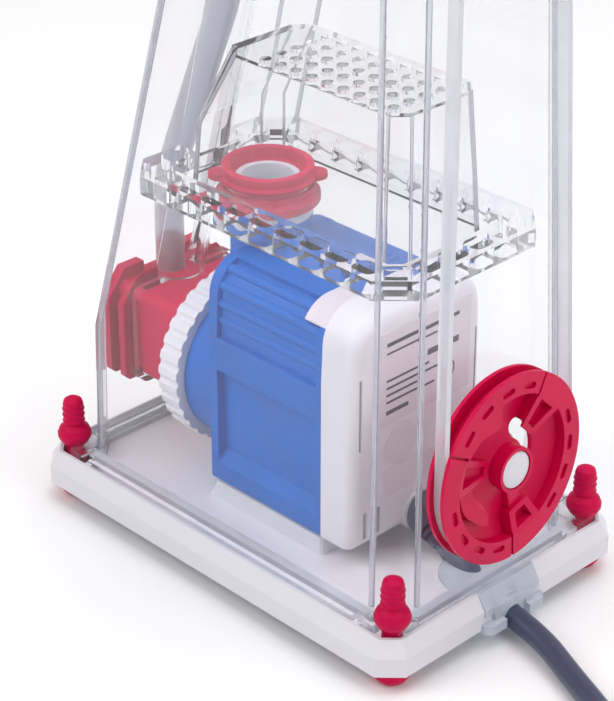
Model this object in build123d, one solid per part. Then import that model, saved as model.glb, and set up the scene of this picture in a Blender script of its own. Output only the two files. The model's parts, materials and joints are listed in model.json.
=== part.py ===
from build123d import *
from math import atan2, cos, degrees, pi, radians, sin, sqrt, tan
import os

# Protein skimmer for a reef aquarium, in millimetres.
# +Z is up, +X is the outlet end with the valve wheel and -X is the intake end.
# Heights below are measured from a datum plane under the tray; every part is raised by
# DATUM_HEIGHT when it is written, which puts z = 0 on the surface its silicone feet stand on.
DATUM_HEIGHT = 3.5

# ---- base tray -------------------------------------------------------------
BASE_LENGTH = 200.0
BASE_WIDTH = 130.0
BASE_CHAMFER = 8.1
TRAY_BOTTOM = 4.5
SKIRT_TOP = 12.4
RIM_TOP = 18.3
RIM_INSET = 3.8
FLOOR_TOP = 14.5
FLOOR_THICK = 3.0
PLUG_X = 89.5
PLUG_Y = 53.5
PLUG_NECK_R = 3.9

# ---- clear body ------------------------------------------------------------
WALL = 3.0
FLANGE_Z = 17.0
FLANGE_TOP = 20.0
TAB_TOP = 21.0
BEND_Z = 76.5
SHOULDER_Z = 304.5
TOP_Z = 318.0
NECK_X = 25.0
NECK_R = 39.0
NECK_TOP = 345.0

# ---- pump ------------------------------------------------------------------
AXIS_Z = 58.0              # centre line of rotor, chamber and lock ring
PUMP_BOTTOM = 22.5
SHAFT_R = 2.0
BUSH_R = 3.6
NECK_SEAT_Z = 96.2          # where the outlet neck starts to stand over the motor
BLOCK_X0 = -26.5
BLOCK_X1 = 34.5
CAP_X1 = 50.5
RISER_X = -29.0
RISER_Y = 0.0

# ---- bubble plate and dome --------------------------------------------------
PLATE_Z = 138.5
PLATE_THICK = 3.0
RIM_HEIGHT = 7.5
PLATE_X0 = -66.8
PLATE_X1 = 76.8
PLATE_HALF_Y = 41.4
PLATE_CHAMFER = 11.3
DOME_TOP = 197.8

# ---- outlet valve and belt --------------------------------------------------
WHEEL_Z = 66.4
WHEEL_R = 37.2
WHEEL_X0 = 89.2
WHEEL_X1 = 97.5
BELT_X = 93.35
BELT_WIDTH = 4.6
BELT_THICK = 2.4
PULLEY_FLANGE = 1.6
BELT_CLEAR = 0.3
BELT_R = 34.0
KNOB_Y = 0.0
TILT = 2.2                 # lean of the outlet wall, and of the wheel and knob on it
KNOB_Z = 296.5
KNOB_R = 28.0
KNOB_BELT_R = 25.0
AXLE_R = 6.2

# ---- air path ----------------------------------------------------------------
HOSE_R = 6.2
HOSE_BORE = 4.6
HOSE_X = -88.0
GROOVE_HALF = 9.0
GROOVE_DEPTH = 13.0
GROOVE_TOP = 282.0
SILENCER_X = -43.0
SILENCER_Z = 322.0
SILENCER_R = 12.5
SILENCER_HEIGHT = 52.0

# ---- collection cup ------------------------------------------------------------
CUP_R = 50.0
CUP_Z = 348.0
CUP_TOP = 440.0
DRAIN_ANGLE = 130.0

# ---- mains lead ------------------------------------------------------------------
CORD_R = 4.5
CORD_EXIT_Z = 4.0
CORD_LAID_Z = CORD_R - DATUM_HEIGHT
CORD_ROUTE = [
    (99.6, 0.0, CORD_EXIT_Z),
    (117.0, -2.0, 3.0),
    (137.0, -9.8, 1.1),
    (159.0, -18.6, CORD_LAID_Z),
    (180.0, -30.2, CORD_LAID_Z),
    (196.1, -45.2, CORD_LAID_Z),
    (214.2, -71.5, CORD_LAID_Z),
]
COIL_CENTRE = (258.0, -40.8)
COIL_MEAN_R = 49.0
COIL_HALF_WIDTH = 9.0
COIL_HEIGHT = 27.0
PLUG_HALF = 10.0


def octagon(x0, x1, half_y, chamfer, z):
    """Rectangle with its four corners cut at 45 degrees, as a face at height z."""
    points = [
        (x0 + chamfer, -half_y), (x1 - chamfer, -half_y),
        (x1, -half_y + chamfer), (x1, half_y - chamfer),
        (x1 - chamfer, half_y), (x0 + chamfer, half_y),
        (x0, half_y - chamfer), (x0, -half_y + chamfer),
    ]
    return Pos(0, 0, z) * make_face(Polyline(*points, close=True))


def frustum(*sections):
    """Solid with flat sides through octagons given as (x0, x1, half_y, chamfer, z)."""
    solid = None
    for low, high in zip(sections, sections[1:]):
        piece = loft([octagon(*low), octagon(*high)], ruled=True)
        solid = piece if solid is None else solid + piece
    return solid


def shrunk(section, inset, z=None):
    x0, x1, half_y, chamfer, height = section
    cut = chamfer - inset * (2 - sqrt(2))
    return (x0 + inset, x1 - inset, half_y - inset, cut, height if z is None else z)


def block(x0, x1, y0, y1, z0, z1):
    return Pos((x0 + x1) / 2, (y0 + y1) / 2, (z0 + z1) / 2) * Box(x1 - x0, y1 - y0, z1 - z0)


def rod_x(radius, x0, x1, y=0.0, z=AXIS_Z):
    """Cylinder along X."""
    return Pos((x0 + x1) / 2, y, z) * Rot(0, 90, 0) * Cylinder(radius, x1 - x0)


def rod_z(radius, z0, z1, x=0.0, y=0.0):
    return Pos(x, y, (z0 + z1) / 2) * Cylinder(radius, z1 - z0)


def tube_z(outer, inner, z0, z1, x=0.0, y=0.0):
    return rod_z(outer, z0, z1, x, y) - rod_z(inner, z0 - 1, z1 + 1, x, y)


def extrude_x(face_yz, x0, x1):
    """Extrude a face drawn with its (x, y) as (Y, Z), from x0 to x1."""
    solid = extrude(face_yz, amount=x1 - x0)
    return Pos(x0, 0, 0) * Rot(0, 90, 0) * Rot(0, 0, 90) * solid


def revolve_z(points, x=0.0, y=0.0):
    """Solid of revolution about the vertical through (x, y) from (radius, z) points."""
    face = Rot(90, 0, 0) * make_face(Polyline(*points, close=True))
    return Pos(x, y, 0) * revolve(face, Axis.Z)


def swept(points, radii, radius, bore=0.0):
    """Round tube along straight runs joined by tangent arcs."""
    path = FilletPolyline(*points, radius=radii)
    start = path @ 0
    plane = Plane(origin=start, z_dir=path % 0)
    solid = sweep(plane * Circle(radius), path)
    if bore:
        solid = solid - sweep(plane * Circle(bore), path)
    return solid, path.length


def corner_radii(points, limit=None):
    """Largest tangent arc that each corner's two runs allow."""
    radii = []
    for before, here, after in zip(points, points[1:], points[2:]):
        run_in = Vector(*here) - Vector(*before)
        run_out = Vector(*after) - Vector(*here)
        turn = radians(run_in.get_angle(run_out))
        radius = 0.45 * min(run_in.length, run_out.length) / tan(turn / 2)
        radii.append(radius if limit is None else min(radius, limit))
    return radii


def corners(x, y):
    return [(sx * x, sy * y) for sx in (-1, 1) for sy in (-1, 1)]


# ---- base ------------------------------------------------------------------------

def base_outline(inset, z):
    half_x = BASE_LENGTH / 2 - inset
    return (-half_x, half_x, BASE_WIDTH / 2 - inset, BASE_CHAMFER - inset * 0.586, z)


GLAND_X = 84.0
GLAND_DISC_R = 16.2
GLAND_HALF_Y = 15.0
GLAND_FOOT_Y = 16.5


def base_tray():
    tray = frustum(base_outline(0, TRAY_BOTTOM), base_outline(0, SKIRT_TOP), base_outline(RIM_INSET, RIM_TOP))
    tray -= frustum(base_outline(5.2, FLOOR_TOP), base_outline(5.2, RIM_TOP + 1))
    tray -= frustum(base_outline(3.0, TRAY_BOTTOM - 1), base_outline(3.0, FLOOR_TOP - FLOOR_THICK))
    for x, y in corners(PLUG_X, PLUG_Y):
        boss = rod_z(9.5, TRAY_BOTTOM, FLOOR_TOP - 1, x, y)
        tray += boss & frustum(base_outline(1, TRAY_BOTTOM), base_outline(1, SKIRT_TOP + 3))
    tray += block(62, 98, -24, 24, TRAY_BOTTOM + 0.5, FLOOR_TOP)
    for y in (-32, 32):
        tray += block(-96, 96, y - 1, y + 1, TRAY_BOTTOM + 1, FLOOR_TOP - 1)
    for x, y in corners(PLUG_X, PLUG_Y):
        tray -= rod_z(PLUG_NECK_R + 0.1, 0, 30, x, y)
    tray -= rod_z(GLAND_DISC_R + 0.2, 12.4, 16, GLAND_X)
    tray -= block(93.5, 101, -GLAND_HALF_Y - 0.2, GLAND_HALF_Y + 0.2, 9.3, 30)
    tray -= block(93.5, 101, -GLAND_FOOT_Y - 0.2, GLAND_FOOT_Y + 0.2, 0, 7.2)
    tray -= block(93.5, 101, -10.7, 10.7, 0, 13)
    return tray - block(84, 94, -7.7, 7.7, 0, 30) - rod_z(7.7, 0, 30, 84) - lead_way(CORD_R + 0.8)


def base_gasket():
    outer = (-90.8, 90.0, 52.7, 12.1, FLOOR_TOP)
    inner = (-85.6, 84.8, 47.5, 9.4, FLOOR_TOP - 1)
    ring = frustum(outer, outer[:4] + (FLANGE_Z,))
    return ring - frustum(inner, inner[:4] + (FLANGE_Z + 1,))


def foot_plugs():
    low = -DATUM_HEIGHT
    profile = [(0, low), (3.0, low), (5.8, low + 1.4), (7.2, low + 3.4), (7.6, low + 5.8), (7.6, TRAY_BOTTOM),
               (PLUG_NECK_R, TRAY_BOTTOM), (PLUG_NECK_R, TAB_TOP), (5.6, TAB_TOP), (6.8, 23.2), (6.9, 25.0),
               (6.0, 27.2), (4.1, 28.8)]
    rib_z = 29.4
    for _ in range(3):
        profile += [(4.1, rib_z), (4.6, rib_z + 1.1), (4.1, rib_z + 2.2)]
        rib_z += 2.7
    profile += [(4.2, 38.0), (3.7, 39.8), (2.2, 40.8), (0, 41.1)]
    return [revolve_z(profile, x, y) for x, y in corners(PLUG_X, PLUG_Y)]


# ---- clear body ----------------------------------------------------------------------

BODY_SECTIONS = [
    (-89.3, 88.5, 51.2, 11.5, FLANGE_Z),
    (-89.3, 88.5, 51.2, 11.5, FLANGE_TOP),
    (-89.3, 86.35, 49.05, 11.2, BEND_Z),
    (-27.6, 77.6, 40.3, 10.0, SHOULDER_Z),
    (-16.0, 66.0, 39.6, 14.0, TOP_Z),
]
INTAKE_HALF_Y = 25.0
INTAKE_Z0 = 44.0
INTAKE_Z1 = 82.5


def body_hollow():
    inner = [shrunk(s, WALL) for s in BODY_SECTIONS]
    inner[0] = inner[0][:4] + (FLANGE_Z - 1,)
    inner[-1] = inner[-1][:4] + (TOP_Z - WALL,)
    return frustum(*inner)


def body_outer():
    return frustum(*BODY_SECTIONS)


def rounded_yz(half_y, z0, z1, radius):
    return Pos(0, (z0 + z1) / 2) * RectangleRounded(2 * half_y, z1 - z0, radius)


def flange_and_tabs():
    flange = frustum((-94.4, 94.4, 59.4, 5.2, FLANGE_Z), (-94.4, 94.4, 59.4, 5.2, FLANGE_TOP))
    for sx in (-1, 1):
        for sy in (-1, 1):
            tab = block(min(sx * 79, sx * 94.4), max(sx * 79, sx * 94.4),
                        min(sy * 45, sy * 59.4), max(sy * 45, sy * 59.4), FLANGE_TOP, TAB_TOP)
            flange += tab & frustum((-94.4, 94.4, 59.4, 5.2, FLANGE_TOP), (-94.4, 94.4, 59.4, 5.2, TAB_TOP))
    for sx in (-1, 1):
        for sy in (-1, 1):
            x, y = sx * PLUG_X, sy * PLUG_Y
            slot = rod_z(4.1, 10, 30, x, y)
            slot += block(x - 4.1, x + 4.1, min(y, y + sy * 12), max(y, y + sy * 12), 10, 30)
            notch = block(sx * 76 - 1.6, sx * 76 + 1.6, min(sy * 56, sy * 62), max(sy * 56, sy * 62), 10, 30)
            flange = flange - slot - notch
    return flange


WALL_LEAN = (BODY_SECTIONS[3][0] - BODY_SECTIONS[2][0]) / (SHOULDER_Z - BEND_Z)


def intake_wall_x(z):
    """Outer face of the intake-end wall at height z."""
    return BODY_SECTIONS[2][0] + WALL_LEAN * max(0.0, z - BEND_Z)


def groove(half, depth, z0, z1):
    """Channel with a round inner end that opens outward and climbs along the leaning wall."""
    def section(z):
        inner = intake_wall_x(z) + depth
        outline = Pos(inner - half, 0) * Circle(half) + Pos((inner - half - 120) / 2, 0) * Rectangle(
            120 + inner - half, 2 * half)
        return Pos(0, 0, z) * outline
    upright = extrude(section(z0), amount=max(0.0, BEND_Z - z0)) if z0 < BEND_Z else None
    low = max(z0, BEND_Z)
    climb = extrude(section(low), amount=(z1 - low) * sqrt(1 + WALL_LEAN ** 2), dir=(WALL_LEAN, 0, 1))
    return climb if upright is None else upright + climb


OUTLET_WALL = 86.75        # outer face of the outlet wall in the leaning frame of the wheel
SCREW_PLACES = [(y, z) for y in (-10.5, 10.5) for z in (KNOB_Z - 18.0, KNOB_Z + 4.0)]


def tilted(shape):
    """Lean a part of the valve train to stand square on the outlet wall."""
    return Pos(88.5, 0, WHEEL_Z) * Rot(0, -TILT, 0) * Pos(-88.5, 0, -WHEEL_Z) * shape


def intake_sleeve():
    """Clear lip around the intake box, inside the wall."""
    frame = extrude_x(rounded_yz(INTAKE_HALF_Y + 2.6, INTAKE_Z0 - 2.6, INTAKE_Z1 + 2.6, 5.6), -82.7, -77.4)
    return frame - extrude_x(rounded_yz(INTAKE_HALF_Y + 0.4, INTAKE_Z0 - 0.4, INTAKE_Z1 + 0.4, 4.4), -90, -70)


def body_shell():
    channel = groove(GROOVE_HALF + 2.0, GROOVE_DEPTH + 2.0, INTAKE_Z1 + 0.3, GROOVE_TOP + 2.0) & body_outer()
    seat = tilted(rod_x(33.0, 80.0, 88.5, 0, WHEEL_Z))
    shell = body_outer() + flange_and_tabs() + seat
    shell -= body_hollow()
    shell += channel + intake_sleeve()
    opening = extrude_x(rounded_yz(INTAKE_HALF_Y + 0.2, INTAKE_Z0 - 0.2, INTAKE_Z1 + 0.2, 4.2), -95, -70)
    shell = shell - opening - groove(GROOVE_HALF, GROOVE_DEPTH, INTAKE_Z1 - 1, GROOVE_TOP)
    shell += tube_z(NECK_R, NECK_R - WALL, TOP_Z - WALL, NECK_TOP, NECK_X)
    shell -= rod_z(NECK_R - WALL, TOP_Z - 6, NECK_TOP + 1, NECK_X)
    shell -= tilted(rod_x(AXLE_R - 2.0, 70, 95, 0, WHEEL_Z))
    shell -= tilted(rod_x(3.0, 70, 95, KNOB_Y, KNOB_Z))
    for y, z in SCREW_PLACES:
        shell -= tilted(rod_x(1.55, OUTLET_WALL - 1.6, 95, y, z))
    return shell - tilted(crescent(76, 92, 11.5, 22.0, -60, 60))


def crescent(x0, x1, r0, r1, a0, a1):
    """Curved port about the wheel's axis, between radii r0 and r1 and angles a0 to a1 from +Y."""
    middle = (r0 + r1) / 2
    half = (r1 - r0) / 2
    arc = CenterArc((0, 0), middle, a0, a1 - a0)
    band = trace(arc, 2 * half)
    ends = [Pos(middle * cos(radians(a)), middle * sin(radians(a))) * Circle(half) for a in (a0, a1)]
    return Pos(0, 0, WHEEL_Z) * extrude_x(band + ends[0] + ends[1], x0, x1)


def neck_ring():
    ring = tube_z(NECK_R + 4.0, NECK_R + 0.05, 333.0, NECK_TOP - 0.5, NECK_X)
    for i in range(24):
        a = 2 * pi * i / 24
        ring -= rod_z(1.3, 330, 350, NECK_X + (NECK_R + 4.6) * cos(a), (NECK_R + 4.6) * sin(a))
    return ring


# ---- bubble plate and dome -------------------------------------------------------------

def plate_outline(inset, z):
    return shrunk((PLATE_X0, PLATE_X1, PLATE_HALF_Y, PLATE_CHAMFER, z), inset)


def rim_pocket(x, y, width, depth, along_x):
    size = (width, depth) if along_x else (depth, width)
    face = RectangleRounded(size[0], size[1], 2.6)
    return Pos(x, y, PLATE_Z - 1) * extrude(face, amount=RIM_HEIGHT + 4)


def diffuser_plate():
    plate = frustum(plate_outline(0, PLATE_Z), plate_outline(0, PLATE_Z + RIM_HEIGHT))
    floor_z, above_z = PLATE_Z + PLATE_THICK, PLATE_Z + RIM_HEIGHT + 1
    plate -= frustum(plate_outline(13.0, floor_z), plate_outline(13.0, above_z))
    rim_y = PLATE_HALF_Y - 6.6
    for i in range(9):
        x = PLATE_X0 + 20.5 + i * 12.9
        for sy in (-1, 1):
            plate -= rim_pocket(x, sy * rim_y, 9.8, 8.6, True)
    for i in range(4):
        y = -19.4 + i * 12.9
        for x in (PLATE_X0 + 6.6, PLATE_X1 - 6.6):
            plate -= rim_pocket(x, y, 9.8, 8.6, False)
    for sx in (-1, 1):
        for sy in (-1, 1):
            edge = PLATE_X1 if sx > 0 else PLATE_X0
            cx, cy = edge - sx * 9.3, sy * (PLATE_HALF_Y - 9.3)
            for reach in (2.2, -3.6):
                slot = Rot(0, 0, 45 * sx * sy + 90) * Box(8.0, 2.6, 30)
                plate -= Pos(cx + sx * reach, cy + sy * reach, PLATE_Z) * slot
    plate -= groove(GROOVE_HALF + 2.4, GROOVE_DEPTH + 2.4, PLATE_Z - 20, PLATE_Z + 20)
    return plate - rod_z(17.2, PLATE_Z - 1, PLATE_Z + 5, RISER_X, RISER_Y)


def bubble_dome():
    base_z = PLATE_Z + PLATE_THICK
    sections = [(-51.5, 61.0, 24.2, 6.5, base_z), (-49.4, 59.6, 22.8, 6.1, 165.5),
                (-31.8, 57.6, 20.6, 5.6, DOME_TOP)]
    dome = frustum(*sections)
    inner = [shrunk(s, 2.0) for s in sections]
    inner[0] = inner[0][:4] + (base_z - 1,)
    inner[-1] = inner[-1][:4] + (DOME_TOP - 2.2,)
    dome -= frustum(*inner)
    holes = [Pos(-13.6 + 7.9 * i, 7.8 * (j - 2), DOME_TOP) for i in range(9) for j in range(5)]
    for place in holes:
        dome -= place * Cylinder(2.35, 8)
    return dome


# ---- pump ----------------------------------------------------------------------------------

def pump_profile(grow=0.0, top=118.0):
    """Section of the motor across X: straight sides that lean in slightly and round over at the top."""
    outline = Polyline((-34.3, PUMP_BOTTOM), (34.3, PUMP_BOTTOM), (34.3, 90), (33.0, top), (-33.0, top),
                       (-34.3, 90), close=True)
    face = make_face(outline)
    upper = face.vertices().group_by(Axis.Y)[-1]
    face = fillet(upper, 14)
    face = fillet(face.vertices().group_by(Axis.Y)[0], 2.5)
    return offset(face, grow) if grow else face


RIB_R = 1.9
RIB_PITCH = 7.0
RIB_COUNT = 4
PANEL_DEPTH = 3.6
TOP_ROUND = 14.0


def rib_spot(climb):
    """Where a side rib sits, at a distance measured up the wall and then round its top corner."""
    corner_z = 118.0 - TOP_ROUND
    reach = TOP_ROUND - RIB_R
    angle = max(0.0, climb - corner_z) / reach
    return 33.2 - TOP_ROUND + reach * cos(angle), min(climb, corner_z) + reach * sin(angle)


def side_panel(side):
    """Recess in the motor's flank, with a sloping lower edge."""
    wall = 34.3 - PANEL_DEPTH
    outline = [(wall, 73.3), (wall, 37.0), (34.6, 31.4), (40, 31.4), (40, 73.3)]
    corners = [(side * y, z) for y, z in outline]
    return extrude_x(make_face(Polyline(*corners, close=True)), -22.5, 31.0)


def motor_housing():
    shell = extrude_x(pump_profile(), BLOCK_X0, BLOCK_X1)
    skin = shell - extrude_x(pump_profile(-RIB_R), BLOCK_X0 - 1, BLOCK_X1 + 1)
    for side in (-1, 1):
        shell -= skin & block(-22, 31, min(side * 23, side * 40), max(side * 23, side * 40), 87.4, 130)
        shell -= side_panel(side)
        for i in range(RIB_COUNT):
            y, z = rib_spot(94.5 + RIB_PITCH * i)
            shell += rod_x(RIB_R, -22.2, 31.2, side * y, z)
    shell -= extrude_x(pump_profile(-6.0), BLOCK_X0 + 3.5, BLOCK_X1 + 1)
    shell += rod_x(12.3, BLOCK_X0, 24.0)
    shell -= rod_x(10.4, BLOCK_X0 - 1, 17.4) + rod_x(BUSH_R, 17.0, 21.5)
    shell += latch_block()
    neck_hole = rod_z(15.35, NECK_SEAT_Z, 130, RISER_X, RISER_Y)
    shell -= neck_hole
    saddle = rod_z(17.4, NECK_SEAT_Z - 2.5, 114, RISER_X, RISER_Y) - neck_hole
    return shell + (saddle & extrude_x(pump_profile(-1), BLOCK_X0, BLOCK_X1))


def latch_block():
    """Ribbed catch on the motor's top that the end cap snaps under."""
    catch = block(20.0, 33.6, 1.5, 12.5, 116.5, 121.6)
    for x in (22.4, 26.6, 30.8):
        catch += Pos(x, 7.0, 121.4) * Rot(90, 0, 0) * Cylinder(1.1, 11.0)
    return catch


def motor_end_cap():
    cap = extrude_x(pump_profile(0.3, 119.5), BLOCK_X1, CAP_X1)
    face_edges = cap.faces().sort_by(Axis.X)[-1].edges()
    cap = fillet(face_edges, 5.5)
    cap -= extrude_x(pump_profile(-4.5, 119.5), BLOCK_X1 - 1, CAP_X1 - 3.5)
    for y in (-27.2, -20.6, 20.6, 27.2):
        cap -= Pos(46, y, 32.6) * Box(20, 1.7, 11.5)
    for y in (-30.2, 30.2):
        cap -= block(CAP_X1 - 7, CAP_X1 + 1, y - 0.5, y + 0.5, 66, 96)
    cap += rod_x(9.0, CAP_X1 - 5, CAP_X1 + 0.8, 2.0, 28.0)
    return cap - lead_way(CORD_R + 0.1)


def pump_chamber():
    chamber = rod_x(30.6, -50.0, -44.0) + rod_x(32.3, -44.0, BLOCK_X0 - 0.2)
    neck = rod_z(15.0, AXIS_Z, 122.5, RISER_X, RISER_Y) + rod_z(17.3, 122.5, 126.5, RISER_X, RISER_Y)
    chamber += neck - block(BLOCK_X0 - 0.2, 10, -40, 40, 0, NECK_SEAT_Z)
    chamber -= rod_x(27.0, -51, -31.0)
    chamber -= rod_x(11.8, -51, -26)
    return chamber - rod_z(10.2, AXIS_Z + 20, 140, RISER_X, RISER_Y) & rod_z(200, 0, 130)


def rotor_plate():
    plate = rod_x(11.8, -30.6, -27.6) - rod_x(BUSH_R, -31, -27)
    for i in range(4):
        a = radians(45 + 90 * i)
        plate -= rod_x(1.6, -31, -27, 8 * cos(a), AXIS_Z + 8 * sin(a))
    return plate


def bush(x0, x1):
    return rod_x(BUSH_R, x0, x1) - rod_x(SHAFT_R + 0.05, x0 - 1, x1 + 1)


def rotor_shaft():
    return rod_x(SHAFT_R, -46.0, 21.0)


def rotor_magnet():
    return rod_x(9.7, -25.5, 16.5) - rod_x(SHAFT_R, -26, 17)


def needle_wheel():
    wheel = rod_x(5.0, -46.5, -33.4) + rod_x(22.5, -36.2, -34.2)
    for radius, count in ((11.0, 8), (16.0, 12), (20.8, 16)):
        for i in range(count):
            a = 2 * pi * i / count + radius
            wheel += rod_x(0.9, -46.0, -35.0, radius * cos(a), AXIS_Z + radius * sin(a))
    return wheel - rod_x(SHAFT_R, -47, -33)


def chamber_oring():
    return Pos(-50.8, 0, AXIS_Z) * Rot(0, 90, 0) * Torus(28.9, 0.75)


def stator_core():
    core = block(-11, 10, -24, 24, 38, 105)
    core -= rod_x(12.6, -13, 11)
    for sy in (-1, 1):
        core -= block(-13, 11, min(sy * 8, sy * 20), max(sy * 8, sy * 20), 74.5, 92)
    return core


def stator_coil():
    return block(-19.5, 17.5, -19.5, 19.5, 75, 91.5) - block(-12.4, 10.4, -8.4, 8.4, 70, 100)


def lock_ring():
    outer = Circle(36.4)
    for i in range(34):
        a = 2 * pi * i / 34
        outer -= Pos(37.6 * cos(a), 37.6 * sin(a)) * Circle(2.2)
    ring = Pos(0, 0, AXIS_Z) * extrude_x(outer, -54.8, -44.3)
    ring -= rod_x(31.0, -53.6, -43)
    return ring - rod_x(26.2, -56, -43)


def intake_lip(x0, x1, half_y, z0, z1, bevel):
    outline = Polyline((-half_y + 2, z0), (half_y - 2, z0), (half_y, z0 + 2), (half_y, z1 - bevel * 1.2),
                       (half_y - bevel, z1), (-half_y + bevel, z1), (-half_y, z1 - bevel * 1.2), (-half_y, z0 + 2),
                       close=True)
    return extrude_x(make_face(outline), x0, x1)


INTAKE_BACK_X = -62.0


def intake_box():
    """Red silicone box through the wall, held by a lip on either side of it."""
    inside = Pos(0.2, 0, 0) * body_hollow()
    box = intake_lip(-97.0, -92.2, 30.0, 42.0, 87.5, 9.0)
    box += intake_lip(-86.2, -82.8, 30.0, 42.0, 87.5, 9.0) & inside
    box -= rod_z(HOSE_R + 0.2, INTAKE_Z1, 95, HOSE_X)
    box -= groove(GROOVE_HALF + 2.1, GROOVE_DEPTH + 2.1, INTAKE_Z1, 95)
    box += extrude_x(rounded_yz(INTAKE_HALF_Y, INTAKE_Z0, INTAKE_Z1, 4), -97.0, INTAKE_BACK_X)
    box += rod_z(HOSE_BORE, INTAKE_Z1 - 2, 97.0, HOSE_X)
    box -= extrude_x(rounded_yz(21.0, 48.0, 78.5, 3), -101.0, INTAKE_BACK_X + 1)
    for y in (-10.5, 0.0, 10.5):
        box += block(-96.6, -93.0, y - 1.2, y + 1.2, 47, 79.5)
    return box - rod_z(3.0, 70, 100, HOSE_X)


def intake_collar():
    """Silicone adapter from the intake box to the pump's inlet."""
    collar = extrude_x(rounded_yz(INTAKE_HALF_Y, INTAKE_Z0, INTAKE_Z1, 4), INTAKE_BACK_X, -56.5)
    collar += rod_x(25.0, -58.0, -53.2) + rod_x(30.4, -53.3, -50.1)
    return collar - rod_x(17.0, -63, -50) - (rod_x(30.0, -51.6, -50) - rod_x(27.8, -52, -49))


def rating_label():
    return block(CAP_X1, CAP_X1 + 0.35, -22.5, 26.5, 72.5, 111.0)


def small_stickers():
    stickers = [rod_x(8.6, CAP_X1, CAP_X1 + 0.3, -9.5, 62.0)]
    stickers.append(block(CAP_X1, CAP_X1 + 0.3, -18.0, 12.0, 41.0, 52.6))
    band = extrude_x(pump_profile(0.3), 23.0, 34.0) - extrude_x(pump_profile(), 22.0, 35.0)
    stickers.append(band & block(22, 35, -31.5, -13.0, 105, 125))
    return stickers


def pump_pedestal():
    pad = frustum((-28.5, 34.4, 34.0, 1, FLOOR_TOP), (-24.4, 34.4, 34.0, 1, PUMP_BOTTOM))
    return pad - block(-20, 30, -28, 28, 0, 19.5)


def outlet_tube():
    tube = rod_z(12.4, 126.5, 142.5, RISER_X, RISER_Y) + rod_z(17.2, 126.5, 130.5, RISER_X, RISER_Y)
    return tube - rod_z(10.2, 120, 150, RISER_X, RISER_Y)


def outlet_collar():
    profile = [(12.45, 130.6), (18.6, 130.6), (20.2, 131.8), (20.2, 134.4), (18.6, 136.0), (18.2, PLATE_Z - 0.05),
               (17.15, PLATE_Z), (17.15, PLATE_Z + 3.05), (18.4, PLATE_Z + 3.1), (19.0, 142.8), (17.4, 143.8),
               (17.8, 145.0), (17.8, 147.0), (16.6, 147.7), (14.8, 147.2), (14.6, 142.7), (12.45, 142.6)]
    collar = revolve_z(profile, RISER_X, RISER_Y)
    for side in (-1, 1):
        dx, dy = side * 12.4, side * 12.7
        ear = rod_z(5.0, PLATE_Z + 3.1, 143.6, RISER_X + dx, RISER_Y + dy)
        collar += ear - rod_z(14.0, 130, 150, RISER_X, RISER_Y)
    return collar


# ---- outlet valve, belt and level knob --------------------------------------------------------

def pulley(x0, x1, radius, groove_r, flange, z, y=0.0):
    body = rod_x(radius, x0, x0 + flange, y, z) + rod_x(groove_r, x0, x1, y, z)
    return body + rod_x(radius, x1 - flange, x1, y, z)


DISH_TOP = 94.3             # level of the hub, below the wheel's front face
DISH_R0 = 12.0
RING_R = 28.8
HUB_R = 8.9
HUB_X1 = 99.3
CAP_SEAT_X = 97.2
SPOKES = ((46.0, 14.6), (166.0, 10.8), (286.0, 18.6))   # heading, and radius where the spoke ends


def spoke(angle, inner_r):
    """Wedge from the rim towards the hub, with a tapering pocket in its face."""
    solid = extrude_x(Rot(0, 0, angle) * taper(inner_r, RING_R + 1.2, 0.27, 0.27), WHEEL_X0, WHEEL_X1)
    pocket = Rot(0, 0, angle) * taper(inner_r + 2.2, RING_R - 2.0, 0.13, 0.16)
    solid -= extrude_x(pocket, WHEEL_X1 - 4.2, WHEEL_X1 + 1)
    return Pos(0, 0, WHEEL_Z) * solid


def taper(r0, r1, slope0, slope1):
    """Trapezium between two radii, whose half widths are given as parts of the radius."""
    w0, w1 = r0 * slope0, r1 * slope1
    return make_face(Polyline((r0, -w0), (r1, -w1), (r1, w1), (r0, w0), close=True))


def about_wheel(profile):
    """Solid of revolution about the wheel's axis from a face drawn with (x, y) as (radius, X)."""
    return Pos(0, 0, WHEEL_Z) * Rot(0, 90, 0) * revolve(Rot(90, 0, 0) * profile, Axis.Z)


def wheel_bowl():
    """Hollow of the wheel's front: a dished web between hub and ring."""
    arc = ThreePointArc((HUB_R, 93.4), (19.0, WHEEL_X0 + 1.8), (RING_R, 93.0))
    outline = [arc, Polyline((RING_R, 93.0), (RING_R, WHEEL_X1 + 1), (HUB_R, WHEEL_X1 + 1), (HUB_R, 93.4))]
    return about_wheel(make_face(outline))


def wheel_dish():
    """What is cut away above the spokes, so that they fall from the rim to the hub."""
    outline = Polyline((0, DISH_TOP), (DISH_R0, DISH_TOP), (RING_R, WHEEL_X1), (RING_R, WHEEL_X1 + 1),
                       (0, WHEEL_X1 + 1), close=True)
    return about_wheel(make_face(outline))


def wheel_shelf():
    """Lobe that widens the ring at the upper left."""
    edge = Spline((-27.8, 11.4), (-23.0, 13.6), (-16.4, 18.6), (-10.4, 19.2), (-6.2, 20.4), (-6.4, 24.6),
                  (-3.4, 29.4))
    outer = ThreePointArc((-3.4, 29.4), (-18.6, 23.4), (-27.8, 11.4))
    outline = make_face([edge, outer])
    return Pos(0, 0, WHEEL_Z) * extrude_x(outline, WHEEL_X0 + 1, WHEEL_X1)


def wheel_petal():
    """Raised leaf beside the left spoke."""
    edge = Spline((-27.0, 2.0), (-26.4, -2.8), (-24.6, -8.6), (-18.6, -15.4), (-11.4, -19.2), (-12.4, -12.6),
                  (-18.4, -5.4), (-19.4, 2.0))
    outline = make_face([edge, Line((-19.4, 2.0), (-27.0, 2.0))])
    return Pos(0, 0, WHEEL_Z) * extrude_x(outline, WHEEL_X0 + 1, 95.6)


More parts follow.
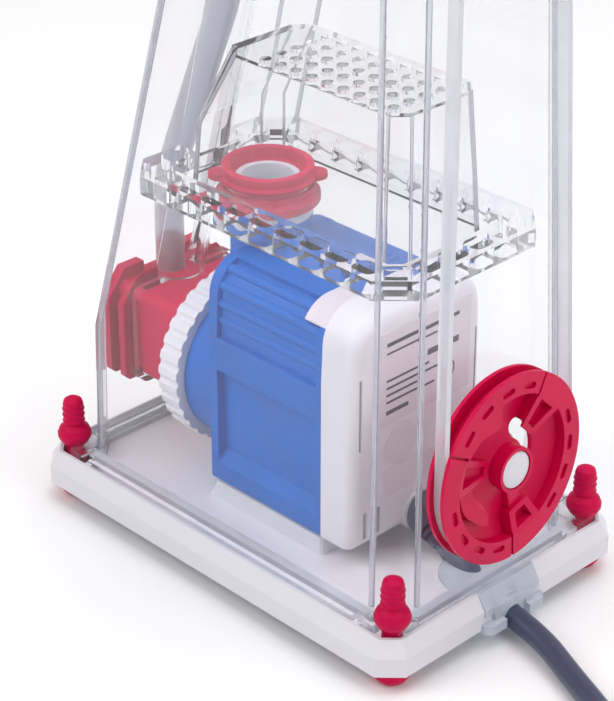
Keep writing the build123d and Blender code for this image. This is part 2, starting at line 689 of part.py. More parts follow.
def wheel_slots():
    """Rim slots between the spokes, and a narrow slit beside each spoke."""
    cuts = []
    for middle in (106.0, 226.0, 346.0):
        for step in (-32, -11, 10, 31):
            heading = middle + step
            a = radians(heading)
            slot = Rot(0, 0, heading) * SlotOverall(6.4, 2.5, rotation=90)
            place = Pos(0, 31.9 * cos(a), WHEEL_Z + 31.9 * sin(a))
            cuts.append(place * extrude_x(slot, WHEEL_X1 - 1.2, WHEEL_X1 + 1))
    for heading in (61.5, 150.5, 270.5):
        slit = Rot(0, 0, heading) * (Pos(33, 0) * Rectangle(11, 1.1))
        cuts.append(Pos(0, 0, WHEEL_Z) * extrude_x(slit, WHEEL_X1 - 1.3, WHEEL_X1 + 1))
    return cuts


def valve_wheel():
    wheel = pulley(WHEEL_X0, WHEEL_X1, WHEEL_R, BELT_R - BELT_THICK / 2 - BELT_CLEAR, PULLEY_FLANGE, WHEEL_Z)
    wheel -= wheel_bowl()
    inner = wheel_shelf() + wheel_petal()
    for heading, inner_r in SPOKES:
        inner += spoke(heading, inner_r)
    wheel += inner & rod_x(33.0, WHEEL_X0, WHEEL_X1, 0, WHEEL_Z)
    arm = Rot(0, 0, SPOKES[2][0]) * (Pos(13, 0) * Rectangle(14, 5.6) + Pos(18.2, 0) * Circle(3.6))
    wheel += Pos(0, 0, WHEEL_Z) * extrude_x(arm, WHEEL_X0, DISH_TOP)
    wheel = wheel - wheel_dish() + wheel_shelf()
    wheel += rod_x(HUB_R, WHEEL_X0, HUB_X1, 0, WHEEL_Z)
    for cut in wheel_slots():
        wheel -= cut
    wheel -= crescent(WHEEL_X0 - 1, WHEEL_X0 + 5, 10.2, 17.6, -46, 58)
    wheel -= rod_x(7.5, CAP_SEAT_X, HUB_X1 + 1, 0, WHEEL_Z)
    return tilted(wheel - rod_x(AXLE_R + 0.06, WHEEL_X0 - 1, HUB_X1 + 1, 0, WHEEL_Z))


DOME_R = 30.0


def wheel_axle():
    """Fixed axle with a domed cap that keeps the wheel on."""
    axle = rod_x(AXLE_R, 88.5, CAP_SEAT_X + 0.2, 0, WHEEL_Z) + rod_x(AXLE_R - 2.1, 76.0, 88.6, 0, WHEEL_Z)
    dome = Pos(HUB_X1 + 0.4 - DOME_R, 0, WHEEL_Z) * Rot(0, 0, 180) * Sphere(DOME_R)
    cap = rod_x(7.1, CAP_SEAT_X + 0.1, HUB_X1 + 1, 0, WHEEL_Z) & dome
    return tilted(axle + cap)


def axle_nut():
    nut = Pos(0, 0, WHEEL_Z) * extrude_x(RegularPolygon(8.0, 6), 77.2, 81.8)
    return tilted(nut - rod_x(AXLE_R - 2.1, 76, 83, 0, WHEEL_Z))


def belt_outline(grow):
    """Loop round the two pulleys, grown by a distance, drawn in (Y, Z)."""
    span = KNOB_Z - WHEEL_Z
    rise = (BELT_R - KNOB_BELT_R) / span
    run = sqrt(1 - rise ** 2)
    low_r, high_r = BELT_R + grow, KNOB_BELT_R + grow
    low = [(side * low_r * run, WHEEL_Z + low_r * rise) for side in (1, -1)]
    high = [(side * high_r * run, KNOB_Z + high_r * rise) for side in (1, -1)]
    edges = [
        Line(low[0], high[0]),
        ThreePointArc(high[0], (0, KNOB_Z + high_r), high[1]),
        Line(high[1], low[1]),
        ThreePointArc(low[1], (0, WHEEL_Z - low_r), low[0]),
    ]
    return make_face(Curve() + edges)


def drive_belt():
    half = BELT_THICK / 2
    ring = belt_outline(half) - belt_outline(-half)
    return tilted(extrude_x(ring, BELT_X - BELT_WIDTH / 2, BELT_X + BELT_WIDTH / 2))


def level_knob():
    groove_r = KNOB_BELT_R - BELT_THICK / 2 - BELT_CLEAR
    knob = pulley(WHEEL_X0, WHEEL_X1, KNOB_R, groove_r, PULLEY_FLANGE, KNOB_Z, KNOB_Y)
    knob -= rod_x(20.0, WHEEL_X0 + 2.6, WHEEL_X1 + 1, KNOB_Y, KNOB_Z)
    grip = Circle(13.0)
    for i in range(12):
        a = 2 * pi * i / 12
        grip -= Pos(14.0 * cos(a), 14.0 * sin(a)) * Circle(2.4)
    knob += Pos(0, KNOB_Y, KNOB_Z) * extrude_x(grip, WHEEL_X0, 99.6)
    for i in range(4):
        a = 90 * i + 45
        rib = Rot(0, 0, a) * (Pos(16.5, 0) * Rectangle(9, 3))
        knob += Pos(0, KNOB_Y, KNOB_Z) * extrude_x(rib, WHEEL_X0, WHEEL_X1 - 0.6)
    return tilted(knob - rod_x(3.06, WHEEL_X0 - 1, 97.0, KNOB_Y, KNOB_Z))


def knob_axle():
    return tilted(rod_x(3.0, 80.5, 96.4, KNOB_Y, KNOB_Z))


def knob_bracket():
    """Pad on the outlet wall that carries the knob's axle."""
    face = Pos(KNOB_Y, KNOB_Z - 7) * RectangleRounded(30, 34, 5)
    plate = extrude_x(face, OUTLET_WALL + 0.05, OUTLET_WALL + 1.4)
    plate += rod_x(7.0, OUTLET_WALL + 0.05, WHEEL_X0 - 0.35, KNOB_Y, KNOB_Z)
    plate -= rod_x(3.0, 70, 99, KNOB_Y, KNOB_Z)
    for y, z in SCREW_PLACES:
        plate -= rod_x(1.6, 70, 99, y, z)
    return tilted(plate)


def bracket_screws():
    screws = []
    for y, z in SCREW_PLACES:
        screw = rod_x(1.5, OUTLET_WALL - 1.5, OUTLET_WALL + 1.5, y, z)
        screws.append(tilted(screw + rod_x(2.8, OUTLET_WALL + 1.45, OUTLET_WALL + 2.2, y, z)))
    return screws


# ---- air hose and silencer -----------------------------------------------------------------------

HOSE_PATH = [(HOSE_X, 0.0, INTAKE_Z1 + 0.1), (HOSE_X, 0.0, 121.7), (-53.0, 0.0, 204.5), (SILENCER_X, 0.0, 240.0),
             (SILENCER_X, 0.0, SILENCER_Z - 2.0)]


def air_hose():
    hose, length = swept(HOSE_PATH, corner_radii(HOSE_PATH, 90.0), HOSE_R, HOSE_BORE)
    print("air hose length", round(length, 1))
    return hose


def silencer_body():
    top = SILENCER_Z + SILENCER_HEIGHT
    body = rod_z(SILENCER_R, SILENCER_Z, top - 6, SILENCER_X)
    body -= rod_z(SILENCER_R - 1.8, SILENCER_Z + 2, top, SILENCER_X)
    barb = rod_z(HOSE_BORE, SILENCER_Z - 16, SILENCER_Z + 0.5, SILENCER_X)
    barb += rod_z(7.0, SILENCER_Z - 1.9, SILENCER_Z, SILENCER_X)
    return body + barb - rod_z(3.0, SILENCER_Z - 20, SILENCER_Z + 5, SILENCER_X)


def silencer_foam():
    top = SILENCER_Z + SILENCER_HEIGHT
    return tube_z(SILENCER_R - 2.0, 3.0, SILENCER_Z + 8, top - 9, SILENCER_X)


def silencer_cap():
    top = SILENCER_Z + SILENCER_HEIGHT
    cap = rod_z(SILENCER_R + 1.2, top - 5.9, top, SILENCER_X)
    cap -= rod_z(SILENCER_R - 3, top - 7, top - 2, SILENCER_X)
    for i in range(10):
        a = 2 * pi * i / 10
        cap -= Pos(SILENCER_X + 8.2 * cos(a), 8.2 * sin(a), top) * Rot(0, 0, degrees(a)) * Box(3.4, 1.5, 8)
    cap += tube_z(4.6, 2.05, top - 2, top + 1.6, SILENCER_X)
    return cap - rod_z(2.05, top - 8, top + 2, SILENCER_X)


def air_valve_knob():
    top = SILENCER_Z + SILENCER_HEIGHT + 2.0
    grip = Circle(7.2)
    for i in range(10):
        a = 2 * pi * i / 10
        grip -= Pos(7.9 * cos(a), 7.9 * sin(a)) * Circle(1.2)
    knob = Pos(SILENCER_X, 0, top) * extrude(grip, amount=7.0)
    knob += rod_z(2.0, top - 12, top + 1, SILENCER_X)
    return knob + block(SILENCER_X - 0.8, SILENCER_X + 0.8, 0.5, 6.4, top + 6.9, top + 7.6)


def silencer_clip():
    clip = tube_z(SILENCER_R + 2.6, SILENCER_R, 326, 334, SILENCER_X)
    clip -= block(-70, SILENCER_X - 9.5, -30, 30, 320, 340)
    clip += block(SILENCER_X + 13.5, NECK_X - NECK_R + 2, -7, 7, 326, 332.6)
    return clip - rod_z(NECK_R, 300, 360, NECK_X) - rod_z(SILENCER_R, 300, 360, SILENCER_X)


# ---- collection cup ------------------------------------------------------------------------------------

def collection_cup():
    inner_neck = NECK_R - WALL
    profile = [(30.4, 322.0), (inner_neck - 0.5, 322.0), (inner_neck - 0.5, 328.0), (inner_neck - 2.1, 328.0),
               (inner_neck - 2.1, 331.4), (inner_neck - 0.5, 331.4), (inner_neck - 0.5, CUP_Z),
               (CUP_R - 4, CUP_Z), (CUP_R, CUP_Z + 5), (CUP_R, CUP_TOP), (CUP_R - 3, CUP_TOP),
               (CUP_R - 3, CUP_Z + 6.2), (CUP_R - 5.2, CUP_Z + 3), (30.4, CUP_Z + 3)]
    cup = revolve_z(profile, NECK_X)
    cup += tube_z(CUP_R + 3.2, CUP_R - 0.5, CUP_TOP - 4, CUP_TOP - 1.2, NECK_X)
    return cup - drain_axis_rod(3.1, 30, 70)


def drain_axis_rod(radius, reach0, reach1):
    """Rod that leaves the cup's wall level, at the drain's heading."""
    rod = Pos((reach0 + reach1) / 2, 0, CUP_Z + 11) * Rot(0, 90, 0) * Cylinder(radius, reach1 - reach0)
    return Pos(NECK_X, 0, 0) * Rot(0, 0, DRAIN_ANGLE) * rod


def cup_riser():
    wall = [(30.4, 325.0), (30.4, CUP_Z + 3.0), (28.4, 420.0),
            (26.0, 420.0), (27.6, CUP_Z + 2), (27.6, 325.0)]
    return revolve_z(wall, NECK_X)


def cup_oring():
    return Pos(NECK_X, 0, 329.7) * Torus(NECK_R - WALL - 1.25, 0.8)


def drain_barb():
    barb = drain_axis_rod(4.6, CUP_R + 0.02, CUP_R + 4) + drain_axis_rod(3.0, 46.9, 62.0)
    return barb - drain_axis_rod(1.9, 40, 70)


def drain_cap():
    return drain_axis_rod(4.9, 54.6, 64.5) - drain_axis_rod(3.35, 50, 62.6)


def cup_lid():
    lid = rod_z(CUP_R + 2.6, CUP_TOP + 0.4, CUP_TOP + 4.4, NECK_X)
    lid += tube_z(CUP_R - 3.6, CUP_R - 5.8, CUP_TOP - 6, CUP_TOP + 1, NECK_X)
    lid -= tube_z(40.0, 16.0, CUP_TOP + 3.2, CUP_TOP + 6, NECK_X)
    for i in range(6):
        a = 2 * pi * i / 6
        lid -= rod_z(2.2, CUP_TOP - 2, CUP_TOP + 8, NECK_X + 32 * cos(a), 32 * sin(a))
    return lid - rod_z(4.0, CUP_TOP - 2, CUP_TOP + 8, NECK_X)


def lid_handle():
    top = CUP_TOP + 4.4
    handle = rod_z(4.0, CUP_TOP - 1.2, top + 1, NECK_X)
    handle += rod_z(5.4, CUP_TOP - 3.2, CUP_TOP + 0.3, NECK_X)
    handle += revolve_z([(0, top), (13.0, top), (11.0, top + 3.4), (9.6, top + 7.5), (12.4, top + 11.5),
                         (11.4, top + 14.0), (6.0, top + 15.2), (0, top + 15.2)], NECK_X)
    return handle


# ---- mains lead ---------------------------------------------------------------------------------------------

LEAD_ROUTE = [(44.0, 2.0, 31.6), (84.0, 0.3, 8.4), (98.2, 0.0, CORD_EXIT_Z + 0.3)]


def motor_strain_relief():
    profile = [(CORD_R + 0.02, -6), (7.4, -6), (7.4, 3), (7.0, 5), (5.5, 13), (CORD_R + 0.02, 13)]
    relief = revolve_z(profile)
    for z in (5.5, 8.5):
        relief -= tube_z(9, 5.3, z, z + 1.2)
    relief = Pos(53.0, 1.62, 26.38) * Rot(0, 0, -2.4) * Rot(0, 90 + 30.1, 0) * relief
    return relief & block(CAP_X1 + 0.85, 90, -20, 20, 0, 60)


def pump_lead():
    radii = corner_radii(LEAD_ROUTE)
    print("pump lead radii", [round(r, 1) for r in radii])
    lead, _ = swept(LEAD_ROUTE, radii, CORD_R)
    return lead


def cord_gland():
    gland = rod_z(GLAND_DISC_R, 12.5, FLOOR_TOP, GLAND_X)
    outer = frustum(base_outline(-0.5, TRAY_BOTTOM - 1.5), base_outline(-0.5, SKIRT_TOP + 0.2),
                    base_outline(RIM_INSET - 0.5, RIM_TOP + 0.2))
    gland += block(94.9, 102, -GLAND_HALF_Y, GLAND_HALF_Y, 9.5, RIM_TOP) & outer
    gland += block(93.7, 101.6, -10.5, 10.5, 4.0, 12.8)
    foot = block(93.7, 103.8, -GLAND_FOOT_Y, GLAND_FOOT_Y, 3.0, 7.0)
    gland += fillet(foot.edges().filter_by(Axis.Z).group_by(Axis.X)[-1], 4.0)
    gland += rod_z(7.5, 3.0, FLOOR_TOP, 84) + block(84, 94, -7.5, 7.5, 3.0, FLOOR_TOP - 1)
    gland -= rod_x(CORD_R + 0.02, 60, 105, 0, CORD_EXIT_Z)
    gland -= block(101.0, 105, -6.4, 6.4, 0, 9.0)
    return gland - lead_way(CORD_R + 0.02)


def lead_way(radius):
    """Space round the inner lead, to cut from what it passes through."""
    return swept(LEAD_ROUTE, corner_radii(LEAD_ROUTE), radius)[0]


def power_cord():
    radii = corner_radii(CORD_ROUTE)
    print("cord radii", [round(r, 1) for r in radii])
    cord, length = swept(CORD_ROUTE, radii, CORD_R)
    print("cord length", round(length, 1), "volume ratio", round(cord.volume / (pi * CORD_R ** 2 * length), 4))
    return cord


def cord_coil():
    x, y = COIL_CENTRE
    low, high = COIL_MEAN_R - COIL_HALF_WIDTH, COIL_MEAN_R + COIL_HALF_WIDTH
    ring = tube_z(high, low, -DATUM_HEIGHT, COIL_HEIGHT - DATUM_HEIGHT, x, y)
    return fillet(ring.edges().filter_by(GeomType.CIRCLE), 4.0)


def at_plug(shape):
    """Place a piece drawn from the cord's end along +X where the plug lies on the coil, facing +X."""
    height = COIL_HEIGHT - DATUM_HEIGHT + PLUG_HALF
    return Pos(COIL_CENTRE[0] - 14, COIL_CENTRE[1] - COIL_MEAN_R + 4, height) * shape


def plug_body():
    body = Pos(15, 0, 0) * Box(30, 27, 2 * PLUG_HALF)
    body = fillet(body.edges().filter_by(Axis.X), 5)
    body = fillet(body.edges().group_by(Axis.X)[0], 3)
    relief = revolve_z([(0, -22), (5.2, -22), (7.4, 1), (0, 1)])
    body += Rot(0, 90, 0) * relief
    for z in (-18, -14, -10, -6):
        body -= Rot(0, 90, 0) * (tube_z(9, 5.0, z, z + 1.4))
    return at_plug(body)


def plug_pins():
    pins = [Pos(30 + 9, y, 2.5) * Box(18, 1.5, 6.3) for y in (-6.35, 6.35)]
    ground = Pos(30 + 10.5, 0, -5.2) * Rot(0, 90, 0) * Cylinder(2.4, 21)
    return [at_plug(pin) for pin in pins + [ground]]


NODES = {
    "base_tray": base_tray, "base_gasket": base_gasket, "foot_plugs": foot_plugs, "body_shell": body_shell,
    "neck_ring": neck_ring, "diffuser_plate": diffuser_plate, "bubble_dome": bubble_dome,
    "motor_housing": motor_housing, "motor_end_cap": motor_end_cap, "pump_chamber": pump_chamber,
    "rotor_plate": rotor_plate, "front_bush": lambda: bush(-30.8, -27.2), "rear_bush": lambda: bush(18.0, 21.4),
    "rotor_shaft": rotor_shaft, "rotor_magnet": rotor_magnet, "needle_wheel": needle_wheel,
    "chamber_oring": chamber_oring, "stator_core": stator_core, "stator_coil": stator_coil,
    "lock_ring": lock_ring, "intake_box": intake_box,
    "intake_collar": intake_collar, "rating_label": rating_label,
    "small_stickers": small_stickers, "pump_pedestal": pump_pedestal, "outlet_tube": outlet_tube,
    "outlet_collar": outlet_collar, "valve_wheel": valve_wheel, "wheel_axle": wheel_axle, "axle_nut": axle_nut,
    "drive_belt": drive_belt, "level_knob": level_knob, "knob_axle": knob_axle, "knob_bracket": knob_bracket,
    "bracket_screws": bracket_screws, "air_hose": air_hose, "silencer_body": silencer_body,
    "silencer_foam": silencer_foam, "silencer_cap": silencer_cap, "air_valve_knob": air_valve_knob,
    "silencer_clip": silencer_clip, "collection_cup": collection_cup, "cup_riser": cup_riser,
    "cup_oring": cup_oring, "drain_barb": drain_barb, "drain_cap": drain_cap, "cup_lid": cup_lid,
    "lid_handle": lid_handle, "motor_strain_relief": motor_strain_relief, "pump_lead": pump_lead,
    "cord_gland": cord_gland, "power_cord": power_cord, "cord_coil": cord_coil,
    "plug_body": plug_body, "plug_pins": plug_pins,
}

os.makedirs("parts", exist_ok=True)
for name, make in NODES.items():
    made = make()
    pieces = made if isinstance(made, list) else [made]
    raised = [solid for piece in pieces for solid in (Pos(0, 0, DATUM_HEIGHT) * piece).solids()]
    export_step(raised[0] if len(raised) == 1 else Compound(raised), f"parts/{name}.step")
    print(name, len(raised))
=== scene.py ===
import json
import math

import bmesh
import bpy
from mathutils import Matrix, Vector


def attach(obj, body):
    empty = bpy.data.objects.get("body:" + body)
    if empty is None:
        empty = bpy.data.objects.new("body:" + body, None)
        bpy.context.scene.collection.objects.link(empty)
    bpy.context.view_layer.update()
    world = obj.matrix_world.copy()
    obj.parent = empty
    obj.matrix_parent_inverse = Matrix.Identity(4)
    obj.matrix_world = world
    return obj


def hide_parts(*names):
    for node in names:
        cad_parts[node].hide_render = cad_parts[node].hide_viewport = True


# Protein skimmer. Everything is in metres, in the CAD model's frame: +Z up, +X the outlet end.

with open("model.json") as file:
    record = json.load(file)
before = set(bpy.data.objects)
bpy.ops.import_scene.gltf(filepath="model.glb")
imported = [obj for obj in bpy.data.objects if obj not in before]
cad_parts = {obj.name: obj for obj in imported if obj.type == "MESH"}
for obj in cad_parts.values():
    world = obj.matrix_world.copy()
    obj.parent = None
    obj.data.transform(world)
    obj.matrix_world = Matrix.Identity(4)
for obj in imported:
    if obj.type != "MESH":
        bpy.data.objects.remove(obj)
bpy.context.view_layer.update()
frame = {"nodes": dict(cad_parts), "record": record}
nodes = frame["nodes"]
MM = 0.001
DATUM_HEIGHT = 3.5        # millimetres from the floor up to the datum plane of the heights given below


# ---- camera ----------------------------------------------------------------

CAMERA_AZIMUTH = math.radians(45.6)
CAMERA_PITCH = math.radians(28.9)
CAMERA_DISTANCE = 869.6 * MM
AIM = Vector((-4.34, -4.43, 80.5)) * MM
LENS = 115.75


def add_camera():
    flat = math.cos(CAMERA_PITCH)
    back = Vector((math.sin(CAMERA_AZIMUTH) * flat, -math.cos(CAMERA_AZIMUTH) * flat, math.sin(CAMERA_PITCH)))
    data = bpy.data.cameras.new("camera")
    data.lens = LENS
    data.sensor_width = 36.0
    data.clip_start = 0.05
    camera = bpy.data.objects.new("camera", data)
    camera.location = AIM + back * CAMERA_DISTANCE
    camera.rotation_euler = (-back).to_track_quat("-Z", "Y").to_euler()
    bpy.context.collection.objects.link(camera)
    bpy.context.scene.camera = camera


add_camera()


# ---- mains cord ----------------------------------------------------------------

CORD_R = 4.5 * MM
FLOOR_LIE = 4.5           # height of the cord's middle when it lies on the floor, in millimetres
# The cord's way from the gland to the coil, in millimetres from the middle of the base and from the floor.
CORD_ROUTE = [
    (99.6, 0.0, 7.5),
    (117.0, -2.0, 6.5),
    (137.0, -9.8, 4.6),
    (159.0, -18.6, FLOOR_LIE),
    (180.0, -30.2, FLOOR_LIE),
    (196.1, -45.2, FLOOR_LIE),
    (214.2, -71.5, FLOOR_LIE),
]
COIL_CENTRE = Vector((258.0, -40.8))
COIL_START = math.atan2(CORD_ROUTE[-1][1] - COIL_CENTRE.y, CORD_ROUTE[-1][0] - COIL_CENTRE.x)
COIL_TURNS = 4.9
TURN_POINTS = 16
TURN_RADII = [54.5, 45.5, 45.5, 54.5, 54.5]
TURN_LAYERS = [0, 0, 1, 1, 2]
# The loose end over the coil, as distances from the coil's centre and heights above the floor.
TAIL_SPOTS = [(-53, -14, 26.0), (-51, -34, 32.0), (-43, -44, 36.5), (-36, -45, 37.0), (-29, -45, 37.0)]


def smooth(t):
    t = max(0.0, min(1.0, t))
    return t * t * (3 - 2 * t)


def coil_points():
    """Turns beside and on each other, as points for the cord's own spline."""
    points = []
    for i in range(1, int(COIL_TURNS * TURN_POINTS) + 1):
        whole, part = divmod(i / TURN_POINTS, 1.0)
        now, before = int(whole), max(0, int(whole) - 1)
        ease = smooth(part * 4.0)
        radius = TURN_RADII[before] + (TURN_RADII[now] - TURN_RADII[before]) * ease
        layer = TURN_LAYERS[before] + (TURN_LAYERS[now] - TURN_LAYERS[before]) * ease
        angle = COIL_START + 2 * math.pi * i / TURN_POINTS
        spot = COIL_CENTRE + radius * Vector((math.cos(angle), math.sin(angle)))
        points.append((spot.x, spot.y, FLOOR_LIE + 2 * FLOOR_LIE * layer))
    return points


def nurbs(name, points, radius, resolution=8):
    data = bpy.data.curves.new(name, "CURVE")
    data.dimensions = "3D"
    spline = data.splines.new("NURBS")
    spline.points.add(len(points) - 1)
    for point, place in zip(spline.points, points):
        point.co = (*[c * MM for c in place], 1.0)
    spline.order_u = 3
    spline.use_endpoint_u = True
    spline.resolution_u = resolution
    data.bevel_depth = radius
    data.bevel_resolution = 6
    data.use_fill_caps = True
    obj = bpy.data.objects.new(name, data)
    bpy.context.collection.objects.link(obj)
    return obj


# ---- materials ------------------------------------------------------------------

def srgb(r, g, b):
    """Linear colour from 0 to 255 display values."""
    def linear(v):
        v /= 255.0
        return v / 12.92 if v <= 0.04045 else ((v + 0.055) / 1.055) ** 2.4
    return (linear(r), linear(g), linear(b), 1.0)


def fresh(name):
    mat = bpy.data.materials.new(name)
    mat.use_nodes = True
    tree = mat.node_tree
    tree.nodes.clear()
    out = tree.nodes.new("ShaderNodeOutputMaterial")
    shader = tree.nodes.new("ShaderNodeBsdfPrincipled")
    tree.links.new(shader.outputs[0], out.inputs[0])
    return mat, tree, shader, out


def noise(tree, scale, detail=3.0, stretch=(1, 1, 1)):
    coords = tree.nodes.new("ShaderNodeTexCoord")
    mapping = tree.nodes.new("ShaderNodeMapping")
    mapping.inputs["Scale"].default_value = stretch
    tex = tree.nodes.new("ShaderNodeTexNoise")
    tex.inputs["Scale"].default_value = scale
    tex.inputs["Detail"].default_value = detail
    tree.links.new(coords.outputs["Object"], mapping.inputs[0])
    tree.links.new(mapping.outputs[0], tex.inputs["Vector"])
    return tex.outputs[0]


def ramp(tree, source, low, high, start=0.35, end=0.65):
    node = tree.nodes.new("ShaderNodeValToRGB")
    node.color_ramp.elements[0].position = start
    node.color_ramp.elements[0].color = low
    node.color_ramp.elements[1].position = end
    node.color_ramp.elements[1].color = high
    tree.links.new(source, node.inputs[0])
    return node.outputs[0]


def vary(tree, source, low, high, socket):
    """A number that follows a noise between two values."""
    node = tree.nodes.new("ShaderNodeMapRange")
    node.inputs["To Min"].default_value = low
    node.inputs["To Max"].default_value = high
    tree.links.new(source, node.inputs[0])
    tree.links.new(node.outputs[0], socket)


def bump(tree, source, strength, distance, shader):
    node = tree.nodes.new("ShaderNodeBump")
    node.inputs["Strength"].default_value = strength
    node.inputs["Distance"].default_value = distance
    tree.links.new(source, node.inputs["Height"])
    tree.links.new(node.outputs[0], shader.inputs["Normal"])


def shade(colour, factor):
    return (colour[0] * factor, colour[1] * factor, colour[2] * factor, 1.0)


def moulded(name, colour, rough, grain=900.0, depth=0.00002, shine=0.5, spread=0.06):
    """Moulded plastic or silicone: slight colour drift, uneven gloss and a fine skin."""
    mat, tree, shader, _ = fresh(name)
    drift = noise(tree, 35.0, 2.0)
    colours = ramp(tree, drift, shade(colour, 1 - spread), shade(colour, 1 + spread))
    tree.links.new(colours, shader.inputs["Base Color"])
    vary(tree, noise(tree, 120.0), rough[0], rough[1], shader.inputs["Roughness"])
    bump(tree, noise(tree, grain, 4.0), 0.35, depth, shader)
    shader.inputs["IOR"].default_value = 1.5
    shader.inputs["Specular IOR Level"].default_value = shine
    return mat


def lit_through(mat, tree, shader, out, tint):
    """Lets lamps reach what is behind the clear wall."""
    path = tree.nodes.new("ShaderNodeLightPath")
    clear = tree.nodes.new("ShaderNodeBsdfTransparent")
    clear.inputs[0].default_value = tint
    mix = tree.nodes.new("ShaderNodeMixShader")
    tree.links.new(path.outputs["Is Shadow Ray"], mix.inputs[0])
    tree.links.new(shader.outputs[0], mix.inputs[1])
    tree.links.new(clear.outputs[0], mix.inputs[2])
    tree.links.new(mix.outputs[0], out.inputs[0])


def clear_plastic(name, tint, rough=0.0, wave=0.00003, ior=1.47, clarity=0.99):
    """Clear acrylic whose walls scatter a little light, with the shine of a denser surface on top."""
    mat, tree, shader, out = fresh(name)
    shader.inputs["Base Color"].default_value = tint
    shader.inputs["Transmission Weight"].default_value = clarity
    shader.inputs["Coat Weight"].default_value = 0.4
    shader.inputs["Coat Roughness"].default_value = 0.05
    shader.inputs["Roughness"].default_value = rough
    shader.inputs["IOR"].default_value = ior
    bump(tree, noise(tree, 60.0, 2.0), 0.2, wave, shader)
    lit_through(mat, tree, shader, out, tint)
    return mat


def milky(name, colour, weight, rough, ior=1.41):
    """Translucent silicone: part clear, part milky."""
    mat, tree, shader, out = fresh(name)
    cloud = noise(tree, 90.0, 2.0)
    tree.links.new(ramp(tree, cloud, shade(colour, 0.96), colour), shader.inputs["Base Color"])
    shader.inputs["Transmission Weight"].default_value = weight
    shader.inputs["Roughness"].default_value = rough
    shader.inputs["IOR"].default_value = ior
    bump(tree, noise(tree, 700.0, 3.0), 0.2, 0.00002, shader)
    lit_through(mat, tree, shader, out, shade(colour, 0.9))
    return mat


def metal(name, colour, rough, stretch):
    mat, tree, shader, _ = fresh(name)
    shader.inputs["Metallic"].default_value = 1.0
    streaks = noise(tree, 400.0, 4.0, stretch)
    tree.links.new(ramp(tree, streaks, shade(colour, 0.85), colour), shader.inputs["Base Color"])
    vary(tree, streaks, rough - 0.06, rough + 0.06, shader.inputs["Roughness"])
    bump(tree, streaks, 0.2, 0.00002, shader)
    return mat


MATERIALS = {
    "white_plastic": moulded("white_plastic", srgb(222, 219, 226), (0.32, 0.42), spread=0.015, shine=0.4),
    "grey_plastic": moulded("grey_plastic", srgb(212, 213, 220), (0.35, 0.45), spread=0.015, shine=0.4),
    "red_plastic": moulded("red_plastic", srgb(206, 4, 70), (0.3, 0.38), shine=0.18),
    "red_silicone": moulded("red_silicone", srgb(198, 6, 70), (0.42, 0.52), shine=0.12),
    "blue_plastic": moulded("blue_plastic", srgb(22, 100, 190), (0.33, 0.42), shine=0.2),
    "black_rubber": moulded("black_rubber", srgb(66, 73, 98), (0.28, 0.36), depth=0.00003),
    "ceramic": moulded("ceramic", srgb(236, 232, 224), (0.1, 0.16), spread=0.02),
    "magnet": moulded("magnet", srgb(52, 52, 56), (0.4, 0.5)),
    "label": moulded("label", srgb(214, 205, 214), (0.3, 0.38), spread=0.02),
    "foam": moulded("foam", srgb(60, 60, 64), (0.8, 0.9), grain=1500.0, depth=0.0004),
    "core_steel": metal("core_steel", srgb(150, 150, 156), 0.4, (1, 1, 1)),
    "copper": metal("copper", srgb(196, 110, 72), 0.35, (1, 6, 1)),
    "pin_brass": metal("pin_brass", srgb(212, 186, 128), 0.25, (1, 8, 1)),
    "clear_acrylic": clear_plastic("clear_acrylic", (0.972, 0.974, 0.982, 1.0), ior=1.13),
    # Milky grey-white strips along the clear walls' edges: painted highlight and painted shade standing in
    # for the glints and grey bands of refraction there.
    "painted_edge_glint": milky("painted_edge_glint", srgb(226, 226, 234), 0.75, 0.12, ior=1.3),
    "clear_silicone": milky("clear_silicone", srgb(240, 240, 245), 0.7, 0.3),
    "hose_silicone": milky("hose_silicone", srgb(226, 226, 234), 0.8, 0.28),
    "grey_silicone": milky("grey_silicone", srgb(222, 228, 236), 0.45, 0.35),
}


def dress(obj, slot_name):
    obj.data.materials.clear()
    obj.data.materials.append(MATERIALS[slot_name])


SLOT_OF = {part["node"]: part["material_slot"] for part in frame["record"]["subparts"]}
for node_name, node in nodes.items():
    dress(node, SLOT_OF[node_name])


# ---- cord in place ------------------------------------------------------------------

def add_cord():
    tail = [(COIL_CENTRE.x + x, COIL_CENTRE.y + y, z) for x, y, z in TAIL_SPOTS]
    cord = nurbs("mains_cord", CORD_ROUTE + coil_points() + tail, CORD_R)
    cord.data.materials.append(MATERIALS["black_rubber"])
    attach(cord, "skimmer")
    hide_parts("power_cord", "cord_coil")


add_cord()


# ---- painted edge glints of the clear walls: milky strips that paint the highlights and grey bands light makes along their edges ---

# Levels of a box with cut corners, as its two ends in X, half width, corner cut and height above the datum.
BODY_LEVELS = [
    (-89.3, 88.5, 51.2, 11.5, 20.0),
    (-89.3, 86.35, 49.05, 11.2, 76.5),
    (-27.6, 77.6, 40.3, 10.0, 304.5),
    (-16.0, 66.0, 39.6, 14.0, 317.0),
]
DOME_LEVELS = [
    (-51.5, 61.0, 24.2, 6.5, 141.6),
    (-49.4, 59.6, 22.8, 6.1, 165.5),
    (-31.8, 57.6, 20.6, 5.6, 197.0),
]
EDGE_INSET = 1.4        # in edge radii


def edge_spots(levels, inset):
    """The eight upright edges of a box with cut corners, each as its points from the bottom up."""
    edges = []
    for sx in (-1, 1):
        for sy in (-1, 1):
            end_edge, side_edge = [], []
            for x0, x1, half_y, cut, z in levels:
                x = (x0 + inset) if sx < 0 else (x1 - inset)
                y = half_y - inset
                end_edge.append((x, sy * (y - cut), z + DATUM_HEIGHT))
                side_edge.append((x - sx * cut, sy * y, z + DATUM_HEIGHT))
            edges += [end_edge, side_edge]
    return edges
